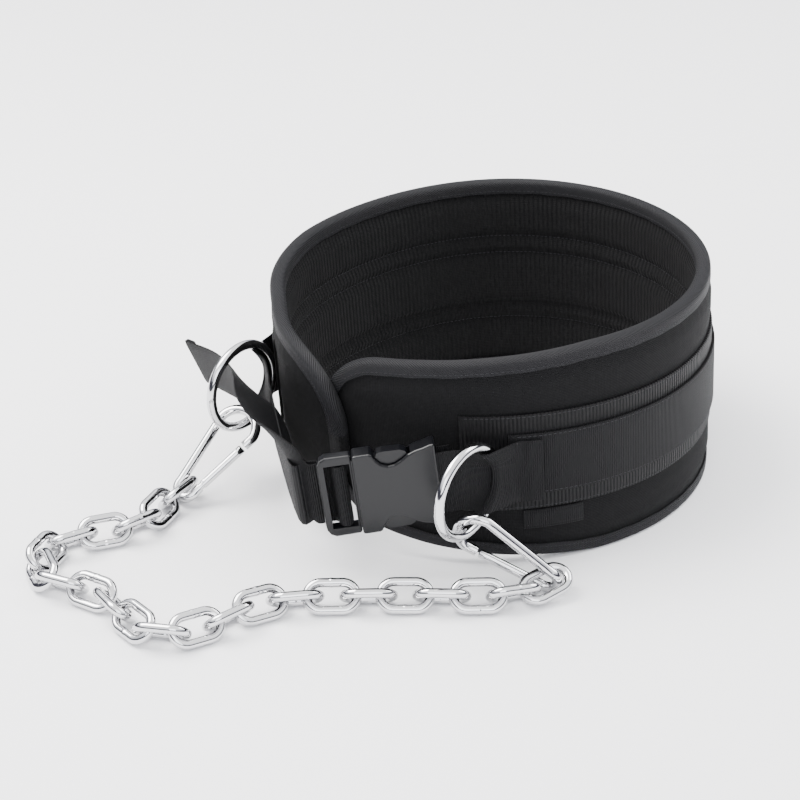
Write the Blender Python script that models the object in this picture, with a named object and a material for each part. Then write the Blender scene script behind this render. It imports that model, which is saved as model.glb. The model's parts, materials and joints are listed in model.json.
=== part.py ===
"""Dip belt: a padded belt standing on its lower edge, buckled, with its chain laid out in front.

Metres, +Z up, front towards -Y. The floor is z = 0 and the origin lies on it, below the middle
of the whole object's box. Along the belt, s is the length of the wall's middle line from the back,
positive towards +X, and out is the distance from that line, away from the body.
"""
import math
from bisect import bisect_left

import bmesh
import bpy
from mathutils import Matrix, Vector

GAP = 0.0003

# Padded wall
PAD_LENGTH = 0.970
PAD_HEIGHT = 0.158
END_OVERLAP = 0.027
LOBE_2_SHARE = 0.065
LOBE_2_AT = math.radians(84.0)
LOBE_3_SHARE = 0.013
LOBE_3_AT = math.radians(3.3)
BOTTOM_LEAN = Vector((0.0096, 0.0030))
BOTTOM_FLARE = -0.0021
RIM_THICKNESS = 0.0106
TAPE_THICKNESS = 0.0008
TAPE_FLAP = 0.0100
TAPE_CROWN = 0.0022
PAD_SWELL = 0.0006
BAND_SEAT = 0.0050
LINING_THICKNESS = 0.0016
LINING_SWELL = 0.0012
CHANNEL_DEPTH = 0.0010
END_ROUND_LENGTH = 0.052
END_ROUND_HEIGHT = 0.056
OUTER_END_LIFT = 0.0118
BELT_STATIONS = 44
ROUND_STATIONS = 5

# Edge of the pad: share of its half length, then how far the top and bottom edges close in
EDGE_TABLE = (
    (0.00, 0.0000, 0.0000),
    (0.60, 0.0000, 0.0000),
    (0.74, 0.0040, 0.0060),
    (0.84, 0.0075, 0.0125),
    (0.90, 0.0105, 0.0175),
    (1.00, 0.0125, 0.0215),
)

# Webbing
BAND_WIDTH = 0.0715
BAND_MIDDLE = 0.0790
BAND_END = 0.383
BAND_THICKNESS = 0.0017
STRAP_WIDTH = 0.0456
STRAP_MIDDLE = 0.0782
STRAP_END = 0.352
STRAP_THICKNESS = 0.0018
HOLDER_END = 0.330
WEB_ROOM = 0.0012

# Label patch
LABEL_START = 0.301
LABEL_LENGTH = 0.042
LABEL_BOTTOM = 0.0275
LABEL_HEIGHT = 0.0140
LABEL_THICKNESS = 0.0008

# Rings
RING_OUTER = 0.0690
RING_WIRE = 0.0070
RING_AT = 0.361
RING_AHEAD = 0.0065
RING_HEIGHT = {1: 0.0745, -1: 0.0780}
RING_HEADING = {1: math.radians(-85.0), -1: math.radians(-87.0)}
RING_SIDES = 8
RING_STATIONS = 24

# Buckle
BUCKLE_THICKNESS = 0.0130
BUCKLE_STAND = 0.0168
BUCKLE_START = 0.0380
FEMALE_LENGTH = 0.0550
FRAME_LENGTH = 0.0240
BUCKLE_HALF = 0.0300
BUCKLE_HEIGHT = 0.0745
BUCKLE_DROOP = math.radians(7.5)
BAR_CENTRE = FEMALE_LENGTH + 0.0098
BAR_HALF = 0.0026
BAR_TURNS = (-72.0, -35.0, 5.0, 48.0, 90.0, 132.0, 175.0)
FEMALE_BAR = 0.0045
SOCKET_FROM = 0.0140
SOCKET_HALF = 0.0045
SOCKET_HIGH = 0.0265
FRAME_HALF = 0.0040
FRAME_RAIL = 0.0046
PRONG_HALF = 0.0037

# Upper edge of the socket half: shares of its length and of the buckle's half width
FEMALE_TABLE = (
    (0.00, 1.03), (0.06, 1.02), (0.14, 0.97), (0.24, 0.93), (0.33, 0.86), (0.42, 0.74),
    (0.50, 0.66), (0.58, 0.64), (0.66, 0.70), (0.72, 0.83), (0.76, 0.97), (0.79, 1.00),
    (0.96, 1.00), (1.00, 0.985),
)
# Upper edge of the frame: distance past the socket, and share of the buckle's half width
FRAME_TABLE = (
    (0.0004, 0.985), (0.0020, 1.00), (0.0180, 1.01), (0.0215, 0.95), (0.0235, 0.84),
    (FRAME_LENGTH, 0.70),
)
# Upper prong from its root to its tip and back: shares of the socket's length and half width
PRONG_TABLE = (
    (0.720, 0.863), (0.700, 0.953), (0.636, 0.980), (0.418, 0.973), (0.355, 0.917),
    (0.327, 0.800), (0.336, 0.667), (0.436, 0.567), (0.618, 0.550), (0.764, 0.650),
    (0.900, 0.650),
)

# Snap hooks
HOOK_WIRE = 0.0070
HOOK_LENGTH = 0.0840
HOOK_BIG_WIDTH = 0.0380
HOOK_SMALL_WIDTH = 0.0220
HOOK_SIDES = 8
GATE_LENGTH = 0.0360
GATE_FROM = 0.0090
GATE_HEEL = 0.0024
NOSE_GAP = 0.0006
PIN_RADIUS = 0.0011
PIN_ROOM = 0.00035
TONGUE_THICKNESS = 0.0022
TONGUE_BACK = 0.0046
# Where each hook holds its ring, past the ring's lowest point, its heading and its lift
HOOK_PLACE = {
    1: (0.0, math.radians(34.0), 0.0),
    -1: (math.radians(-11.0), math.radians(-99.0), 0.0040),
}
HOOK_GATE_SIDE = {1: -1.0, -1: 1.0}

# Chain
LINK_LENGTH = 0.0395
LINK_WIDTH = 0.0250
LINK_WIRE = 0.0064
LINK_ROUND = 6
LINK_SIDES = 6
LINK_PITCH = 0.0241
JOINT_TO_WIRE = 0.0045
LINK_REST = 0.0106
LINK_ROLL = math.radians(45.0)

# The long strap between the left ring and the buckle: arc length, out, and fall of its middle
LOAD_TABLE = (
    (0.383, 0.0145, 0.0010), (0.400, 0.0128, 0.0025), (0.418, 0.0135, 0.0045),
)
# The free end from the frame to its hem, measured from the left ring's centre
TAIL_TABLE = (
    (-0.116, 0.057, -0.0035, 8.0), (-0.098, 0.054, 0.0085, 30.0), (-0.080, 0.048, 0.0165, 50.0),
    (-0.057, 0.038, 0.0215, 55.0), (-0.030, 0.020, 0.0160, 42.0), (0.000, 0.0015, 0.0010, 27.0),
    (0.026, -0.005, -0.0015, 22.0), (0.056, -0.006, -0.0025, 25.0),
)

# Links held in the hooks' small ends: place round the end, heading, pitch, roll, reach and rise
END_LINKS = {
    -1: (math.radians(19.0), math.radians(-77.0), 0.0, math.radians(50.0), 0.0027, 0.0023),
    1: (math.radians(45.0), math.radians(-106.0), math.radians(-12.0), math.radians(-23.0),
        0.0086, -0.0011),
}
# Chain route over the floor, from the left hook to the right one, chosen by hand
CHAIN_ROUTE = (
    (-0.099, -0.249, 0.0101), (-0.104, -0.273, 0.0101), (-0.115, -0.294, 0.0101),
    (-0.1200, -0.3165, 0.0101), (-0.1085, -0.3380, 0.0101), (-0.085, -0.3450, 0.0101),
    (-0.060, -0.334, 0.0101), (-0.036, -0.332, 0.0101), (-0.012, -0.339, 0.0101),
    (0.011, -0.337, 0.0101), (0.0275, -0.3185, 0.0101), (0.031, -0.295, 0.0101),
    (0.034, -0.273, 0.0101), (0.043, -0.253, 0.0101), (0.058, -0.235, 0.0101),
    (0.075, -0.218, 0.0101), (0.092, -0.201, 0.0101), (0.110, -0.184, 0.0101),
    (0.128, -0.168, 0.0101), (0.144, -0.151, 0.0101),
)


def material(name, colour, roughness, metallic=0.0):
    """A plain surface of one colour."""
    made = bpy.data.materials.new(name)
    made.use_nodes = True
    shader = made.node_tree.nodes["Principled BSDF"]
    shader.inputs["Base Color"].default_value = (*colour, 1.0)
    shader.inputs["Roughness"].default_value = roughness
    shader.inputs["Metallic"].default_value = metallic
    return made


def new_object(name, work, surface, smooth=True):
    """An object made from a bmesh, with its faces turned outwards."""
    bmesh.ops.recalc_face_normals(work, faces=work.faces)
    mesh = bpy.data.meshes.new(name)
    work.to_mesh(mesh)
    work.free()
    if smooth:
        mesh.shade_smooth()
        mesh.set_sharp_from_angle(angle=math.radians(40.0))
    mesh.materials.append(surface)
    made = bpy.data.objects.new(name, mesh)
    bpy.context.scene.collection.objects.link(made)
    return made


def loft(name, rings, surface, closed=False, smooth=True):
    """One closed body through rings of points, joined end to end or capped."""
    work = bmesh.new()
    rows = [[work.verts.new(point) for point in ring] for ring in rings]
    count = len(rows[0])
    pairs = list(zip(rows, rows[1:]))
    if closed:
        pairs.append((rows[-1], rows[0]))
    for first, second in pairs:
        for i in range(count):
            j = (i + 1) % count
            work.faces.new((first[i], first[j], second[j], second[i]))
    if not closed:
        work.faces.new(rows[0])
        work.faces.new(rows[-1])
    return new_object(name, work, surface, smooth)


def table_value(table, at, column):
    """A column of a table between its rows, read along the first column."""
    keys = [row[0] for row in table]
    i = min(max(bisect_left(keys, at), 1), len(keys) - 1)
    share = min(max((at - keys[i - 1]) / (keys[i] - keys[i - 1]), 0.0), 1.0)
    return table[i - 1][column] + share * (table[i][column] - table[i - 1][column])


def ease(share):
    """A smooth step from 0 to 1."""
    share = min(max(share, 0.0), 1.0)
    return share * share * (3.0 - 2.0 * share)


# Plan of the belt


def plan_shape(angle):
    """The middle line's radius round the loop, as a share of the mean radius."""
    return (1.0 + LOBE_2_SHARE * math.cos(2.0 * (angle - LOBE_2_AT))
            + LOBE_3_SHARE * math.cos(3.0 * (angle - LOBE_3_AT)))


def measure_plan(steps=1440):
    """Arc lengths round a loop of mean radius 1, clockwise from the back."""
    arcs = [0.0]
    last = None
    for i in range(steps + 1):
        angle = math.pi / 2.0 - 2.0 * math.pi * i / steps
        here = Vector((math.cos(angle), math.sin(angle))) * plan_shape(angle)
        if last is not None:
            arcs.append(arcs[-1] + (here - last).length)
        last = here
    return arcs


UNIT_ARCS = measure_plan()
GIRTH = PAD_LENGTH - END_OVERLAP
MEAN_RADIUS = GIRTH / UNIT_ARCS[-1]
HALF = PAD_LENGTH / 2.0


def plan_angle(s):
    """The angle round the loop at arc length s from the back."""
    want = (s % GIRTH) / MEAN_RADIUS
    i = min(max(bisect_left(UNIT_ARCS, want), 1), len(UNIT_ARCS) - 1)
    share = (want - UNIT_ARCS[i - 1]) / (UNIT_ARCS[i] - UNIT_ARCS[i - 1])
    return math.pi / 2.0 - 2.0 * math.pi * (i - 1 + share) / (len(UNIT_ARCS) - 1)


def plan_frame(s):
    """Point, outward normal and direction of growing s on the middle line."""
    angle = plan_angle(s)
    step = 0.001
    point = Vector((math.cos(angle), math.sin(angle))) * plan_shape(angle) * MEAN_RADIUS
    ahead = Vector((math.cos(angle - step), math.sin(angle - step))) * plan_shape(angle - step)
    behind = Vector((math.cos(angle + step), math.sin(angle + step))) * plan_shape(angle + step)
    along = (ahead - behind).normalized()
    return point, Vector((-along.y, along.x)), along


def end_lift(s):
    """How far the outer end of the pad stands off to pass over the inner end."""
    overlap_from = GIRTH - HALF
    return OUTER_END_LIFT * ease((-s - 0.83 * overlap_from) / (0.165 * overlap_from))


def place(s, out, z):
    """A point of the belt, with the wall's lean and flare."""
    point, normal, _ = plan_frame(s)
    low = 1.0 - z / PAD_HEIGHT
    flat = point + normal * (out + end_lift(s) + BOTTOM_FLARE * low) + BOTTOM_LEAN * low
    return Vector((flat.x, flat.y, z))


# Outline of the pad


def edge_height(s, top, inset):
    """Height of the pad's top or bottom edge where it isn't yet round."""
    share = abs(s) / HALF
    if top:
        return PAD_HEIGHT - table_value(EDGE_TABLE, share, 1) - inset
    return table_value(EDGE_TABLE, share, 2) + inset


def rim_point(at, top, inset):
    """A point (s, z) of the outline; past the straight part, at counts quarter turns."""
    straight = HALF - END_ROUND_LENGTH
    if abs(at) <= 1.0:
        s = at * straight
        return s, edge_height(s, top, inset)
    turn = (abs(at) - 1.0) * math.pi / 2.0
    reach = straight + (END_ROUND_LENGTH - inset) * math.sin(turn)
    drop = (END_ROUND_HEIGHT - inset) * (1.0 - math.cos(turn))
    rim = edge_height(straight + END_ROUND_LENGTH * math.sin(turn), top, inset)
    s = math.copysign(reach, at)
    return s, rim - drop if top else rim + drop


def station_values():
    """Where the wall has its cross-sections, from the -X end to the +X end."""
    middle = [-1.0 + 2.0 * i / BELT_STATIONS for i in range(BELT_STATIONS + 1)]
    turns = [1.0 + (i + 1) / ROUND_STATIONS for i in range(ROUND_STATIONS)]
    return [-value for value in reversed(turns)] + middle + turns


def wall_rows(at, inset, band_rows):
    """Heights of one cross-section's points, edge rows first, kept in order near the ends."""
    low = rim_point(at, False, inset)[1]
    high = rim_point(at, True, inset)[1]
    room = high - low
    near = min(TAPE_FLAP + 0.001 - inset, 0.25 * room)
    middle = (low + high) / 2.0
    step = 0.04 * room
    rows = [low, low + near]
    lower = [row for row in band_rows if row < BAND_MIDDLE]
    upper = [row for row in band_rows if row >= BAND_MIDDLE]
    for i, row in enumerate(lower):
        most = middle - step * (len(lower) - i)
        rows.append(min(max(row, low + near + step * (i + 1)), most))
    for i, row in enumerate(upper):
        least = middle + step * i
        rows.append(max(min(row, high - near - step * (len(upper) - i)), least))
    return rows + [high - near, high]


def edge_distance(s, z, inset):
    """Distance of a wall point from the outline, close enough near the edges."""
    low, high = edge_height(s, False, 0.0), edge_height(s, True, 0.0)
    straight = HALF - END_ROUND_LENGTH
    nearest = min(z - low, high - z)
    if abs(s) > straight:
        along = min((abs(s) - straight) / END_ROUND_LENGTH, 1.0)
        across = max(1.0 - nearest / END_ROUND_HEIGHT, 0.0)
        nearest = min(nearest, (1.0 - math.hypot(along, across)) * END_ROUND_LENGTH)
    return max(nearest, inset)


STITCH_ROWS = (BAND_MIDDLE - BAND_WIDTH / 2.0 + 0.0015, STRAP_MIDDLE - STRAP_WIDTH / 2.0 + 0.0015,
               STRAP_MIDDLE + STRAP_WIDTH / 2.0 - 0.0015, BAND_MIDDLE + BAND_WIDTH / 2.0 - 0.0015)
RIM_FACE = RIM_THICKNESS / 2.0 - TAPE_THICKNESS - 2.0 * GAP
LINING_SEAT = -RIM_FACE + LINING_THICKNESS
CORE_INSET = TAPE_CROWN + 0.0006


def pad_face(s, z):
    """Outer face of the pad: thin under the tape, flat under the band, swelled beyond it."""
    away = ease((edge_distance(s, z, 0.0) - TAPE_FLAP - 0.001) / 0.010)
    from_band = abs(z - BAND_MIDDLE) - BAND_WIDTH / 2.0
    swell = PAD_SWELL * ease(from_band / 0.012)
    return RIM_FACE + away * (BAND_SEAT - RIM_FACE + swell)


def lining_face(s, z):
    """Inner face of the lining: pinched along the stitched rows and under the tape."""
    away = ease((edge_distance(s, z, 0.0) - TAPE_FLAP - 0.001) / 0.010)
    row = min(abs(z - stitch) for stitch in STITCH_ROWS)
    pinch = CHANNEL_DEPTH * (1.0 - ease(row / 0.005))
    return -RIM_FACE - away * (LINING_SWELL - pinch)


def make_pad(surface):
    """The padded wall, a strip with rounded ends."""
    rings = []
    half_band = BAND_WIDTH / 2.0
    band_rows = (BAND_MIDDLE - half_band - 0.014, BAND_MIDDLE - half_band,
                 BAND_MIDDLE + half_band, BAND_MIDDLE + half_band + 0.014)
    for at in station_values():
        rows = wall_rows(at, CORE_INSET, band_rows)
        s = rim_point(at, True, CORE_INSET)[0]
        outer = [place(s, pad_face(s, z), z) for z in rows]
        inner = [place(s, LINING_SEAT + GAP, z) for z in (rows[-1], BAND_MIDDLE, rows[0])]
        rings.append(outer + inner)
    return loft("belt_pad", rings, surface)


def make_lining(surface):
    """The lining on the body side, with its stitched channels."""
    rings = []
    below, strap_low, strap_high, above = STITCH_ROWS
    rows_wanted = (below - 0.014, below, (below + strap_low) / 2.0, strap_low, strap_low + 0.012,
                   strap_high - 0.012, strap_high, (strap_high + above) / 2.0, above, above + 0.014)
    for at in station_values():
        rows = wall_rows(at, CORE_INSET, rows_wanted)
        s = rim_point(at, True, CORE_INSET)[0]
        inner = [place(s, lining_face(s, z), z) for z in rows]
        outer = [place(s, LINING_SEAT, z) for z in (rows[-1], rows[0])]
        rings.append(inner + outer)
    return loft("inner_lining", rings, surface)


def tape_section():
    """The folded tape's section: pairs of (distance in from the edge, out)."""
    half = RIM_THICKNESS / 2.0
    inside = half - TAPE_THICKNESS
    crown = half * 0.5
    return ((TAPE_FLAP, half), (TAPE_CROWN, half), (0.0, crown), (0.0, -crown),
            (TAPE_CROWN, -half), (TAPE_FLAP, -half), (TAPE_FLAP, -inside),
            (TAPE_CROWN, -inside), (TAPE_CROWN, inside), (TAPE_FLAP, inside))


def tape_ring(at, top):
    """The tape's section at a station of the upper or lower edge."""
    ring = []
    for inward, out in tape_section():
        s, z = rim_point(at, top, inward)
        ring.append(place(s, out, z))
    return ring


def meeting_ring(at):
    """The lower tape's end, just under the upper tape's at the end of the pad."""
    ring = []
    for inward, out in tape_section():
        s, z = rim_point(at, True, inward)
        ring.append(place(s, out, z - GAP))
    return ring


def make_tapes(surface):
    """The binding tape in two lengths, over the upper edge and under the lower one."""
    values = station_values()
    loft("top_binding", [tape_ring(at, True) for at in values], surface)
    lower = [tape_ring(at, False) for at in values]
    rings = [meeting_ring(values[0])] + lower + [meeting_ring(values[-1])]
    loft("bottom_binding", rings, surface)


# Webbing


def strip_stations(s_from, s_to):
    """The two ends of a strip, with the wall's own stations between them."""
    straight = HALF - END_ROUND_LENGTH
    inner = [at * straight for at in station_values() if abs(at) <= 1.0]
    margin = 0.002
    return [s_from] + [s for s in inner if s_from + margin < s < s_to - margin] + [s_to]


def sewn_strip(name, s_from, s_to, out, low, high, thickness, surface):
    """A strip sewn flat on the wall."""
    rings = []
    for s in strip_stations(s_from, s_to):
        rings.append([place(s, out, low), place(s, out + thickness, low),
                      place(s, out + thickness, high), place(s, out, high)])
    return loft(name, rings, surface)


def make_label(surface):
    """The bare label patch under the band, on the pad's swelled face."""
    low, high = LABEL_BOTTOM, LABEL_BOTTOM + LABEL_HEIGHT
    seat = BAND_SEAT + PAD_SWELL + GAP
    return sewn_strip("label_patch", LABEL_START, LABEL_START + LABEL_LENGTH, seat, low, high,
                      LABEL_THICKNESS, surface)


# Wire pieces


def tube(name, points, radius, sides, normal, surface, closed=False):
    """A round wire along a flat path whose plane has the given normal."""
    rings = []
    count = len(points)
    for i, point in enumerate(points):
        after = points[(i + 1) % count] if closed else points[min(i + 1, count - 1)]
        before = points[i - 1] if closed or i else points[0]
        side = normal.cross((after - before).normalized())
        rings.append([point + radius * (math.cos(turn) * side + math.sin(turn) * normal)
                      for turn in (2.0 * math.pi * k / sides for k in range(sides))])
    return loft(name, rings, surface, closed=closed)


def holder_frame(side):
    """Where a ring is held: a point of the middle line, outward, and towards the front."""
    point = place(side * RING_AT, 0.0, RING_HEIGHT[side])
    _, normal, along = plan_frame(side * RING_AT)
    return point, normal.to_3d(), along.to_3d() * side


def ring_layout(side):
    """Centre of a ring's wire circle and the level direction from its holder to its far side."""
    point, outward, forward = holder_frame(side)
    heading = RING_HEADING[side]
    away = Vector((math.cos(heading), math.sin(heading), 0.0))
    mid_radius = (RING_OUTER - RING_WIRE) / 2.0
    reach = math.sqrt(mid_radius ** 2 - (STRAP_WIDTH / 2.0) ** 2)
    bow = mid_radius - reach
    lowest = BAND_SEAT + BAND_THICKNESS + 3.0 * GAP + RING_WIRE / 2.0
    stand = lowest + bow * away.dot(outward)
    chord = point + outward * stand + forward * RING_AHEAD
    return chord + away * reach, away


def make_ring(side, surface):
    """A welded round ring, held in its strap fold."""
    centre, away = ring_layout(side)
    up = Vector((0.0, 0.0, 1.0))
    radius = (RING_OUTER - RING_WIRE) / 2.0
    points = []
    for i in range(RING_STATIONS):
        turn = 2.0 * math.pi * i / RING_STATIONS
        points.append(centre + radius * (math.cos(turn) * away + math.sin(turn) * up))
    name = "ring_right" if side > 0 else "ring_left"
    return tube(name, points, RING_WIRE / 2.0, RING_SIDES, away.cross(up), surface, closed=True)


# Buckle


def buckle_frame():
    """The buckle's place: x along it from its +X end, y outward, z across the webbing."""
    point, outward, forward = holder_frame(1)
    origin = point + outward * BUCKLE_STAND + forward * BUCKLE_START
    origin.z = BUCKLE_HEIGHT
    up = Vector((0.0, 0.0, 1.0))
    axis = forward * math.cos(BUCKLE_DROOP) - up * math.sin(BUCKLE_DROOP)
    across = axis.cross(outward)
    return Matrix((
        (axis.x, outward.x, across.x, origin.x),
        (axis.y, outward.y, across.y, origin.y),
        (axis.z, outward.z, across.z, origin.z),
        (0.0, 0.0, 0.0, 1.0),
    ))


def plate(name, outline, low, high, surface, bevel=0.0):
    """A flat plate: an outline of (x, z) points given thickness along y."""
    work = bmesh.new()
    face = work.faces.new([work.verts.new((x, low, z)) for x, z in outline])
    grown = bmesh.ops.extrude_face_region(work, geom=[face])
    moved = [item for item in grown["geom"] if isinstance(item, bmesh.types.BMVert)]
    bmesh.ops.translate(work, verts=moved, vec=(0.0, high - low, 0.0))
    made = new_object(name, work, surface)
    if bevel:
        soften = made.modifiers.new("rounded_edges", "BEVEL")
        soften.width = bevel
        soften.segments = 2
        soften.limit_method = "ANGLE"
        soften.angle_limit = math.radians(50.0)
    return made


def box_cutter(name, low, high):
    """A box that cuts or joins another piece."""
    x0, y0, z0 = low
    x1, y1, z1 = high
    made = plate(name, [(x0, z0), (x1, z0), (x1, z1), (x0, z1)], y0, y1, None)
    return hide(made)


def hide(piece):
    """Keep a cutter out of the model."""
    piece.hide_render = True
    piece.display_type = "WIRE"
    return piece


def combine(target, tool, operation):
    """Cut or join two pieces exactly."""
    step = target.modifiers.new(operation.lower() + "_" + tool.name, "BOOLEAN")
    step.operation = operation
    step.solver = "EXACT"
    step.object = tool


def mirrored_outline(table, scale_x, scale_z):
    """An outline from a table of its upper edge, repeated below."""
    upper = [(x * scale_x, z * scale_z) for x, z in table]
    return upper + [(x, -z) for x, z in reversed(upper)]


def make_female(surface):
    """The buckle's socket half, hollow, with a bar for the short strap."""
    outline = mirrored_outline(FEMALE_TABLE, FEMALE_LENGTH, BUCKLE_HALF)
    half = BUCKLE_THICKNESS / 2.0
    body = plate("buckle_female", outline, -half, half, surface, bevel=0.0012)
    slot_half = STRAP_WIDTH / 2.0 + WEB_ROOM
    wrap = BAR_HALF + 2.0 * GAP + STRAP_THICKNESS
    bar_x = FEMALE_BAR
    combine(body, box_cutter("strap_space", (-0.006, -0.010, -slot_half),
                             (bar_x + wrap + 0.0012, wrap + GAP, slot_half)), "DIFFERENCE")
    combine(body, box_cutter("socket_space", (SOCKET_FROM, -SOCKET_HALF, -SOCKET_HIGH),
                             (FEMALE_LENGTH + 0.004, SOCKET_HALF, SOCKET_HIGH)), "DIFFERENCE")
    combine(body, round_bar("female_bar", bar_x, slot_half + 0.0015), "UNION")
    body.matrix_world = buckle_frame()
    for tool in [step.object for step in body.modifiers if step.type == "BOOLEAN"]:
        tool.matrix_world = body.matrix_world
    return body


def round_bar(name, x, half_length):
    """A bar across the buckle for the webbing."""
    work = bmesh.new()
    turned = Matrix.Translation((x, 0.0, 0.0))
    bmesh.ops.create_cone(work, cap_ends=True, segments=12, radius1=BAR_HALF, radius2=BAR_HALF,
                          depth=2.0 * half_length, matrix=turned)
    return hide(new_object(name, work, None))


def make_male(surface):
    """The buckle's plug half: a frame with two slots, and two sprung prongs in the socket."""
    rows = [(FEMALE_LENGTH + past, share) for past, share in FRAME_TABLE]
    outline = mirrored_outline(rows, 1.0, BUCKLE_HALF)
    frame = plate("buckle_male", outline, -FRAME_HALF, FRAME_HALF, surface, bevel=0.0012)
    slot_half = STRAP_WIDTH / 2.0 + WEB_ROOM
    combine(frame, box_cutter("frame_space", (FEMALE_LENGTH + 0.0022, -0.010, -slot_half),
                              (FEMALE_LENGTH + FRAME_LENGTH - FRAME_RAIL, 0.010, slot_half)), "DIFFERENCE")
    combine(frame, round_bar("frame_bar", BAR_CENTRE, slot_half + 0.0015), "UNION")
    upper = [(x * FEMALE_LENGTH, z * BUCKLE_HALF) for x, z in PRONG_TABLE]
    root = (FEMALE_LENGTH + 0.0014, SOCKET_HIGH - 0.0006)
    core = [root] + upper + [(x, -z) for x, z in reversed(upper)] + [(root[0], -root[1])]
    prongs = hide(plate("prongs", core, -PRONG_HALF, PRONG_HALF, surface))
    combine(frame, prongs, "UNION")
    frame.matrix_world = buckle_frame()
    for tool in [step.object for step in frame.modifiers if step.type == "BOOLEAN"]:
        tool.matrix_world = frame.matrix_world
    return frame


# Straps that hold the rings and the buckle


def wire_in_fold(side, height):
    """Where the ring's wire crosses the fold at one height."""
    centre, away = ring_layout(side)
    radius = (RING_OUTER - RING_WIRE) / 2.0
    rise = min(abs(height - centre.z), radius * 0.9)
    return centre - away * math.sqrt(radius ** 2 - rise ** 2)


def fold_points(side, z):
    """One height line of the strap: sewn to the wall, then over the ring's wire."""
    _, outward, forward = holder_frame(side)
    flush = BAND_SEAT + BAND_THICKNESS + STRAP_THICKNESS + 4.0 * GAP + STRAP_THICKNESS / 2.0
    points = [place(side * s, flush, z) for s in (HOLDER_END, 0.338, 0.346)]
    wire = wire_in_fold(side, z)
    centre, away = ring_layout(side)
    sideways = Vector((-away.y, away.x, 0.0))
    clear = RING_WIRE / 2.0 + 4.0 * GAP + STRAP_THICKNESS / 2.0
    slant = (wire - centre).length / ((RING_OUTER - RING_WIRE) / 2.0)
    for turn in (138.0, 104.0, 70.0, 40.0):
        lean = math.radians(turn)
        toward = math.cos(lean) * forward + math.sin(lean) * outward
        points.append(wire + clear * (away * toward.dot(away) / slant
                                      + sideways * toward.dot(sideways)))
    for point in points:
        point.z = z
    return points


def sheet_strap(name, lines, thickness, surface):
    """A strap through height lines, lowest first: lines[level][station]."""
    rings = []
    stations = len(lines[0])
    levels = len(lines)
    for i in range(stations):
        ahead, behind = min(i + 1, stations - 1), max(i - 1, 0)
        ring_out, ring_in = [], []
        for level in range(levels):
            along = lines[level][ahead] - lines[level][behind]
            across = lines[min(level + 1, levels - 1)][i] - lines[max(level - 1, 0)][i]
            thick = across.cross(along).normalized() * (thickness / 2.0)
            ring_out.append(lines[level][i] + thick)
            ring_in.append(lines[level][i] - thick)
        rings.append(ring_out + list(reversed(ring_in)))
    return loft(name, rings, surface)


def make_buckle_strap(surface):
    """The short strap: sewn on, over the right ring, and round the socket's bar."""
    frame = buckle_frame()
    wrap = BAR_HALF + 2.0 * GAP + STRAP_THICKNESS / 2.0
    around = [(FEMALE_BAR + wrap * math.sin(math.radians(turn)),
               wrap * math.cos(math.radians(turn))) for turn in (-10.0, 30.0, 70.0, 110.0, 150.0, 190.0)]
    local = [(FEMALE_BAR - 0.020, 0.0048)] + around + [(FEMALE_BAR - 0.014, -wrap - 0.0004)]
    lines = []
    for share in (-0.5, -0.25, 0.0, 0.25, 0.5):
        level = STRAP_WIDTH * share
        line = fold_points(1, RING_HEIGHT[1] + level)
        line += [frame @ Vector((x, y, level)) for x, y in local]
        lines.append(line)
    return sheet_strap("buckle_strap", lines, STRAP_THICKNESS, surface)


def tail_stations():
    """Middle points and across directions of the free end, from the frame to its hem."""
    centre, _ = ring_layout(-1)
    points, ways = [], []
    for back, front, up, lean in TAIL_TABLE:
        points.append(centre + Vector((-back, -front, up)))
        tilt = math.radians(lean)
        ways.append(Vector((0.0, -math.sin(tilt), math.cos(tilt))))
    return points, ways


def make_adjusting_strap(surface):
    """The long strap: over the left ring, round the plug's bar, and out to its free end."""
    frame = buckle_frame()
    wrap = BAR_HALF + 2.0 * GAP + STRAP_THICKNESS / 2.0
    levels = []
    behind = [(FEMALE_LENGTH + past, y) for past, y in (
        (0.0420, -0.0135), (0.0310, -0.0102), (0.0225, -0.0082), (0.0162, -0.0073),
        (0.0112, -0.0049))]
    around = [(BAR_CENTRE - wrap * math.cos(math.radians(turn)),
               wrap * math.sin(math.radians(turn))) for turn in BAR_TURNS]
    ahead = [(FEMALE_LENGTH + past, y) for past, y in (
        (0.0160, -0.0046), (0.0215, -0.0055), (0.0300, -0.0060))]
    tail, tail_ways = tail_stations()
    for share in (-0.5, -0.25, 0.0, 0.25, 0.5):
        level = STRAP_WIDTH * share
        line = fold_points(-1, RING_HEIGHT[-1] + level)
        for s, out, drop in LOAD_TABLE:
            line.append(place(-s, out, RING_HEIGHT[-1] - drop + level))
        line += [frame @ Vector((x, y, level)) for x, y in behind + around + ahead]
        line += [point + way * level for point, way in zip(tail, tail_ways)]
        levels.append(line)
    return sheet_strap("adjusting_strap", levels, STRAP_THICKNESS, surface)


# Snap hooks


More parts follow.
